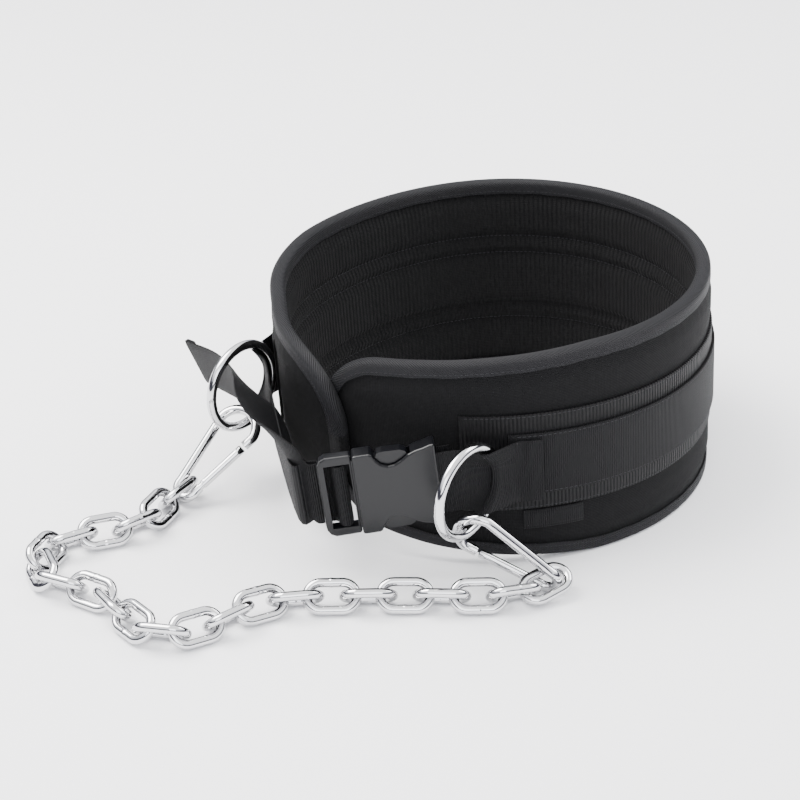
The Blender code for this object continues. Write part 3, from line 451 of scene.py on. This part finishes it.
for label, low, high, end, out in (
        ("band", BAND_LOW, BAND_HIGH, BAND_END, BAND_OUT + BAND_THICK),
        ("strap", STRAP_LOW, STRAP_HIGH, STRAP_END, STRAP_OUT + STRAP_THICK)):
    for edge, z in (("low", low + SEAM_IN), ("high", high - SEAM_IN)):
        stitch_run(f"{label}_{edge}_stitches",
                   lambda d, z=z, end=end, out=out: place(-end + 0.002 + d, out - 0.00016, z),
                   2.0 * end - 0.004)
for i, z in enumerate(ROWS):
    stitch_run(f"lining_stitches_{i + 1}",
               lambda d, z=z: place(-0.40 + d, inner_face(-0.40 + d, z) - 0.00005, z), 0.80)


FOLD_FACE = STRAP_OUT + STRAP_THICK + GAP + STRAP_THICK
for side in (1, -1):
    for i, s in enumerate((0.3315, 0.3350, 0.3385)):
        low = RING_HEIGHT[side] - STRAP_WIDE / 2.0 + 0.0020
        stitch_run(f"bar_tack_{side + 2}_{i + 1}",
                   lambda d, side=side, s=s, low=low: place(side * s, FOLD_FACE - 0.0001, low + d),
                   STRAP_WIDE - 0.0040)


def rim_stitches(name, top, out):
    """Stitches along the tape on one face of one edge."""
    values = stations(480, 60)
    path = [rim_point(at, top, 0.0078) for at in values]
    points = [place(s, out, z) for s, z in path]
    arcs = [0.0]
    for first, second in zip(points, points[1:]):
        arcs.append(arcs[-1] + (second - first).length)

    def where(distance):
        k = min(max(bisect_left(arcs, distance), 1), len(arcs) - 1)
        share = (distance - arcs[k - 1]) / max(arcs[k] - arcs[k - 1], 1e-9)
        return points[k - 1].lerp(points[k], share)

    stitch_run(name, where, arcs[-1] - 0.003, radius=0.00024)


for face_name, out in (("outer", RIM_HALF - 0.0001), ("inner", -RIM_HALF + 0.0001)):
    rim_stitches(f"top_rim_{face_name}_stitches", True, out)
    rim_stitches(f"bottom_rim_{face_name}_stitches", False, out)


# Straps that hold the rings and the buckle


def holder_frame(side):
    """Where a ring is held, with its outward and forward directions."""
    point = place(side * RING_AT, 0.0, RING_HEIGHT[side])
    _, normal, along = plan_frame(side * RING_AT)
    return point, normal.to_3d(), along.to_3d() * side


def ring_layout(side):
    """A ring's middle, and the direction it hangs away from the wall."""
    point, outward, forward = holder_frame(side)
    heading = RING_HEADING[side]
    away = Vector((math.cos(heading), math.sin(heading), 0.0))
    reach = math.sqrt(RING_RADIUS ** 2 - (STRAP_WIDE / 2.0) ** 2)
    stand = BAND_SEAT + BAND_THICK + 3.0 * GAP + RING_WIRE / 2.0
    stand += (RING_RADIUS - reach) * away.dot(outward)
    return point + outward * stand + forward * RING_AHEAD + away * reach, away


def buckle_frame():
    """The buckle: x along it, y outward, z across."""
    point, outward, forward = holder_frame(1)
    origin = point + outward * BUCKLE_STAND + forward * BUCKLE_START
    origin.z = BUCKLE_HEIGHT
    axis = forward * math.cos(BUCKLE_DROOP) - UP * math.sin(BUCKLE_DROOP)
    across = axis.cross(outward)
    return Matrix(((axis.x, outward.x, across.x, origin.x), (axis.y, outward.y, across.y, origin.y),
                   (axis.z, outward.z, across.z, origin.z), (0.0, 0.0, 0.0, 1.0)))


def fold_points(side, z):
    """One height line of a strap: sewn to the wall, then over the ring."""
    _, outward, forward = holder_frame(side)
    flush = BAND_SEAT + BAND_THICK + STRAP_THICK + 4.0 * GAP + STRAP_THICK / 2.0
    points = [place(side * s, flush, z) for s in HOLDER_STATIONS]
    centre, away = ring_layout(side)
    rise = min(abs(z - centre.z), RING_RADIUS * 0.9)
    wire = centre - away * math.sqrt(RING_RADIUS ** 2 - rise ** 2)
    sideways = Vector((-away.y, away.x, 0.0))
    clear = RING_WIRE / 2.0 + 4.0 * GAP + STRAP_THICK / 2.0
    slant = (wire - centre).length / RING_RADIUS
    for turn in WRAP_TURNS:
        lean = math.radians(turn)
        toward = math.cos(lean) * forward + math.sin(lean) * outward
        points.append(wire + clear * (away * toward.dot(away) / slant
                                      + sideways * toward.dot(sideways)))
    for point in points:
        point.z = z
    return points


def smooth_line(points, steps):
    """A smooth curve through points."""
    ends = [points[0] * 2.0 - points[1]] + points + [points[-1] * 2.0 - points[-2]]
    made = []
    for p0, p1, p2, p3 in zip(ends, ends[1:], ends[2:], ends[3:]):
        for i in range(steps):
            u = i / steps
            made.append(0.5 * (2.0 * p1 + (p2 - p0) * u
                               + (2.0 * p0 - 5.0 * p1 + 4.0 * p2 - p3) * u * u
                               + (3.0 * p1 - p0 - 3.0 * p2 + p3) * u ** 3))
    return made + [points[-1]]


def webbing_sheet(name, levels, node, steps=5):
    """A webbing strap through height lines, smoothed both ways, with soft edges."""
    lines = [smooth_line(line, steps) for line in levels]
    count = len(lines[0])
    columns = [smooth_line([line[i] for line in lines], 3) for i in range(count)]
    wide = len(columns[0])
    rings = []
    for i in range(count):
        before, after = columns[max(i - 1, 0)], columns[min(i + 1, count - 1)]
        outer, inner = [], []
        for j in range(wide):
            along = after[j] - before[j]
            across = columns[i][min(j + 1, wide - 1)] - columns[i][max(j - 1, 0)]
            edge = 0.55 if j in (0, wide - 1) else 1.0
            push = across.cross(along).normalized() * (STRAP_THICK / 2.0 * edge)
            outer.append(columns[i][j] + push)
            inner.append(columns[i][j] - push)
        rings.append(outer + list(reversed(inner)))
    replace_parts(sweep(name, rings, strap_cloth), node)


def make_buckle_strap():
    """The short strap, over the right ring and round the socket's bar."""
    box = buckle_frame()
    around = [(SOCKET_BAR + BAR_WRAP * math.sin(math.radians(turn)),
               BAR_WRAP * math.cos(math.radians(turn)))
              for turn in (-10.0, 30.0, 70.0, 110.0, 150.0, 190.0)]
    local = [(-0.0155, 0.0048)] + around + [(-0.0095, -BAR_WRAP - 0.0004)]
    levels = []
    for share in SHARES:
        level = STRAP_WIDE * share
        levels.append(fold_points(1, RING_HEIGHT[1] + level)
                      + [box @ Vector((x, y, level)) for x, y in local])
    webbing_sheet("short_strap", levels, "buckle_strap")


def tail_station(row):
    """Middle point and direction across the tail at a row of its table."""
    left, front, up, lean = row
    tilt = math.radians(lean)
    middle = ring_layout(-1)[0] + Vector((-left, -front, up))
    return middle, Vector((0.0, -math.sin(tilt), math.cos(tilt)))


def make_adjusting_strap():
    """The long strap, over the left ring, round the plug's bar and out."""
    box = buckle_frame()
    behind = [(0.0970, -0.0135), (0.0860, -0.0102), (0.0775, -0.0082), (0.0712, -0.0073),
              (0.0662, -0.0049)]
    around = [(PLUG_BAR - BAR_WRAP * math.cos(math.radians(turn)),
               BAR_WRAP * math.sin(math.radians(turn)))
              for turn in (-72.0, -35.0, 5.0, 48.0, 90.0, 132.0, 175.0)]
    ahead = [(0.0710, -0.0046), (0.0765, -0.0055), (0.0850, -0.0060)]
    levels = []
    for share in SHARES:
        level = STRAP_WIDE * share
        line = fold_points(-1, RING_HEIGHT[-1] + level)
        for s, out, drop in LOAD_TABLE:
            line.append(place(-s, out, RING_HEIGHT[-1] - drop + level))
        line += [box @ Vector((x, y, level)) for x, y in behind + around + ahead]
        for row in TAIL_TABLE:
            middle, across = tail_station(row)
            line.append(middle + across * level)
        levels.append(line)
    webbing_sheet("long_strap", levels, "adjusting_strap")


make_buckle_strap()
make_adjusting_strap()


def tail_point(share, level, push):
    """A point of the tail near its tip; share runs from the tip, push is off its face."""
    tip, tip_way = tail_station(TAIL_TABLE[-1])
    before, before_way = tail_station(TAIL_TABLE[-2])
    spot, way = tip.lerp(before, share), tip_way.lerp(before_way, share).normalized()
    face = way.cross((before - tip).normalized()).normalized()
    return spot + way * level + face * push


def make_hem():
    """The tail's folded hem, a second layer on the face that is turned to the front."""
    rings = []
    for i in range(9):
        share = 0.004 + 0.30 * i / 8
        levels = [STRAP_WIDE * (j / 12 - 0.5) * 0.985 for j in range(13)]
        lift = STRAP_THICK * 1.35 - (0.0006 if i in (0, 8) else 0.0)
        rings.append([tail_point(share, level, lift) for level in levels]
                     + [tail_point(share, level, 0.0004) for level in reversed(levels)])
    sweep("tail_hem", rings, strap_cloth)


make_hem()
stitch_run("hem_stitches", lambda d: tail_point(0.27, d - STRAP_WIDE * 0.46, STRAP_THICK * 1.4),
           STRAP_WIDE * 0.9)


# Metal pieces


def node_points(name):
    """A solid's own points."""
    flat = np.empty(len(nodes[name].data.vertices) * 3)
    nodes[name].data.vertices.foreach_get("co", flat)
    return np.unique(np.round(flat.reshape(-1, 3), 6), axis=0)


def node_axes(points):
    """Middle and principal directions of a piece, longest first."""
    middle = points.mean(axis=0)
    _, _, ways = np.linalg.svd(points - middle, full_matrices=False)
    return Vector(middle), [Vector(way).normalized() for way in ways]


def wire(name, points, radii, sides, normal, closed, body="belt"):
    """A round wire along a flat path."""
    rings = []
    count = len(points)
    for i, point in enumerate(points):
        after = points[(i + 1) % count] if closed else points[min(i + 1, count - 1)]
        before = points[i - 1] if closed or i else points[0]
        side = normal.cross((after - before).normalized())
        radius = radii[i] if isinstance(radii, list) else radii
        rings.append([point + radius * (math.cos(turn) * side + math.sin(turn) * normal)
                      for turn in (2.0 * math.pi * k / sides for k in range(sides))])
    return sweep(name, rings, metal, loop_ways=closed, body=body)


def make_rings():
    """Both rings, with a faint weld seam."""
    for side, node in ((1, "ring_right"), (-1, "ring_left")):
        centre, away = ring_layout(side)
        points, radii = [], []
        for i in range(120):
            turn = 2.0 * math.pi * i / 120
            points.append(centre + RING_RADIUS * (math.cos(turn) * away + math.sin(turn) * UP))
            seam = math.exp(-(((turn - 2.2) % (2.0 * math.pi)) / 0.03) ** 2)
            radii.append(RING_WIRE / 2.0 + 0.00025 * seam)
        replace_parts(wire(node + "_wire", points, radii, 24, away.cross(UP), True), node)


make_rings()


def make_links():
    """Each oval link, laid where its solid lies, with a faint weld."""
    chance = random.Random(4)
    for node in sorted(nodes):
        if not node.startswith("chain_link"):
            continue
        centre, (along, across, _) = node_axes(node_points(node))
        points, radii = [], []
        weld = chance.choice((1.0, -1.0))
        for i in range(96):
            share = i / 96 * 4.0
            mark = 0.0
            if share < 1.0:
                point = along * LINK_STRAIGHT * (1.0 - 2.0 * share) + across * LINK_RADIUS
                if weld > 0:
                    mark = math.exp(-((share - 0.5) / WELD_SHARE) ** 2)
            elif share < 2.0:
                turn = QUARTER + math.pi * (share - 1.0)
                point = (-along * LINK_STRAIGHT + LINK_RADIUS * (along * math.cos(turn)
                                                                 + across * math.sin(turn)))
            elif share < 3.0:
                point = along * LINK_STRAIGHT * (2.0 * (share - 2.0) - 1.0) - across * LINK_RADIUS
                if weld < 0:
                    mark = math.exp(-((share - 2.5) / WELD_SHARE) ** 2)
            else:
                turn = -QUARTER + math.pi * (share - 3.0)
                point = along * LINK_STRAIGHT + LINK_RADIUS * (along * math.cos(turn)
                                                               + across * math.sin(turn))
            points.append(centre + point)
            radii.append(LINK_HALF * (1.0 + WELD_SWELL * mark))
        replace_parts(wire(node + "_wire", points, radii, 20, along.cross(across), True), node)


make_links()


def make_hook(joint, node, gate_node):
    """A snap hook and its gate, placed from the gate's joint."""
    big, small, between = HOOK_BIG, HOOK_SMALL, HOOK_BETWEEN
    slope = math.asin((big - small) / between)
    side_length = between * math.cos(slope)
    hinge = Vector(joint["pos_m"])
    gate_middle, (toward, _, _) = node_axes(node_points(gate_node))
    if toward.dot(gate_middle - hinge) < 0.0:
        toward.negate()
    normal = Vector(joint["axis"]).normalized()
    toward = (toward - normal * toward.dot(normal)).normalized()
    outward = normal.cross(toward)
    body_middle, _ = node_axes(node_points(node))
    if outward.dot(body_middle - hinge) > 0.0:
        outward.negate()
    along = -toward * math.cos(slope) + outward * math.sin(slope)
    across = toward * math.sin(slope) + outward * math.cos(slope)
    share_hinge = 1.0 - GATE_FROM / side_length
    share_nose = 1.0 - (GATE_FROM + GATE_LENGTH + NOSE_GAP) / side_length
    start = (big - big * math.sin(slope), big * math.cos(slope))
    end = (big + between - small * math.sin(slope), small * math.cos(slope))
    hinge_at = [start[k] + share_hinge * (end[k] - start[k]) for k in range(2)]
    apex = hinge - along * hinge_at[0] - across * hinge_at[1]

    def side_point(share, sign):
        """A point on one of the two straight sides."""
        return (apex + along * (start[0] + share * (end[0] - start[0]))
                + across * sign * (start[1] + share * (end[1] - start[1])))

    path = [side_point(share_nose + NOSE_LONG / side_length, 1.0), side_point(share_nose, 1.0),
            side_point(share_nose / 2.0, 1.0)]
    for i in range(33):
        turn = QUARTER + slope + (math.pi - 2.0 * slope) * i / 32
        path.append(apex + along * (big + big * math.cos(turn)) + across * big * math.sin(turn))
    path += [side_point(share, -1.0) for share in (0.1, 0.3, 0.5, 0.7, 0.9)]
    for i in range(29):
        turn = -QUARTER - slope + (math.pi + 2.0 * slope) * i / 28
        path.append(apex + along * (big + between + small * math.cos(turn))
                    + across * small * math.sin(turn))
    path.append(side_point(share_hinge + 0.0046 / side_length, 1.0))
    radii = [HOOK_HALF] * len(path)
    radii[0] = 0.0016
    path[0] = path[1] + (path[0] - path[1]) * 0.12
    radii[-1] = 0.0034
    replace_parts(wire(node + "_wire", path, radii, 24, normal, False), node)
    tongue_path = [hinge - toward * d for d in (0.0050, 0.0020, -0.0012, -0.0024)]
    wire(node + "_tongue", tongue_path, [0.0024, 0.0024, 0.0022, 0.0008], 16, normal, False)
    rod_path = [hinge + toward * d for d in (-0.0024, -0.0020, 0.0, 0.010, 0.030, 0.0355,
                                             GATE_LENGTH)]
    rod_radii = [0.0024, 0.0031, 0.0032, 0.0032, 0.0032, 0.0031, 0.0026]
    rod = wire(gate_node + "_rod", rod_path, rod_radii, 24, normal, False, body=joint["child"])
    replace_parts(rod, gate_node)
    pin_path = [hinge + normal * d for d in (-0.0037, -0.0035, 0.0035, 0.0037)]
    wire(gate_node + "_rivet", pin_path, [0.0008, 0.0013, 0.0013, 0.0008], 16, toward, False,
         body=joint["child"])


for joint in frame["joints"]:
    side = joint["child"].split("_")[1]
    make_hook(joint, "hook_" + side, "gate_" + side)

# Buckle: the solids themselves, with soft edges
for node in ("buckle_female", "buckle_male"):
    piece = nodes[node]
    piece.data.materials.clear()
    piece.data.materials.append(plastic)
    soften = piece.modifiers.new("soft_edges", "BEVEL")
    soften.width = 0.00045
    soften.segments = 2
    soften.limit_method = "ANGLE"
    soften.angle_limit = math.radians(35.0)

# Floor, light and camera


def make_floor():
    """A pale floor."""
    mesh = bpy.data.meshes.new("floor")
    corners = [(x * FLOOR_HALF, y * FLOOR_HALF, 0.0)
               for x, y in ((-1.0, -1.0), (1.0, -1.0), (1.0, 1.0), (-1.0, 1.0))]
    mesh.from_pydata(corners, [], [(0, 1, 2, 3)])
    mesh.materials.append(material("paper", (0.95, 0.95, 0.965), 0.9))
    made = bpy.data.objects.new("floor", mesh)
    bpy.context.scene.collection.objects.link(made)


make_floor()


def area_light(name, spot, aim, size, power, colour):
    """A soft square light."""
    data = bpy.data.lights.new(name, "AREA")
    data.size = size
    data.energy = power
    data.color = colour
    made = bpy.data.objects.new(name, data)
    made.location = spot
    made.rotation_euler = (Vector(aim) - Vector(spot)).to_track_quat("-Z", "Y").to_euler()
    bpy.context.scene.collection.objects.link(made)


area_light("key", (-0.9, -0.5, 1.7), (0.0, 0.0, 0.05), 1.3, 84.0, (1.0, 0.98, 0.96))
area_light("fill", (1.4, -1.5, 1.1), (0.0, 0.0, 0.05), 1.4, 26.0, (0.95, 0.97, 1.0))
area_light("rim", (0.6, 1.4, 1.3), (0.0, 0.1, 0.08), 1.1, 26.0, (1.0, 1.0, 1.0))

world = bpy.data.worlds.new("studio")
world.use_nodes = True
tree = world.node_tree
background = tree.nodes["Background"]
coordinates = tree.nodes.new("ShaderNodeTexCoord")
split = tree.nodes.new("ShaderNodeSeparateXYZ")
ramp = tree.nodes.new("ShaderNodeValToRGB")
tree.links.new(coordinates.outputs["Generated"], split.inputs[0])
tree.links.new(split.outputs["Z"], ramp.inputs["Fac"])
tree.links.new(ramp.outputs["Color"], background.inputs["Color"])
steps = ramp.color_ramp.elements
steps[0].position = 0.0
steps[0].color = (0.05, 0.05, 0.06, 1.0)
steps[1].position = 0.75
steps[1].color = (1.0, 1.0, 1.0, 1.0)
steps.new(0.28).color = (0.03, 0.03, 0.04, 1.0)
steps.new(0.55).color = (0.85, 0.86, 0.90, 1.0)
background.inputs["Strength"].default_value = 2.6
bpy.context.scene.world = world

camera_data = bpy.data.cameras.new("camera")
camera_data.sensor_width = 36.0
camera_data.lens = 96.3
camera = bpy.data.objects.new("camera", camera_data)
camera.location = Vector((0.9097, -1.0552, 0.7912)) - SHIFT
camera.rotation_euler = (math.radians(61.79), 0.0, math.radians(43.5))
bpy.context.scene.collection.objects.link(camera)
bpy.context.scene.camera = camera
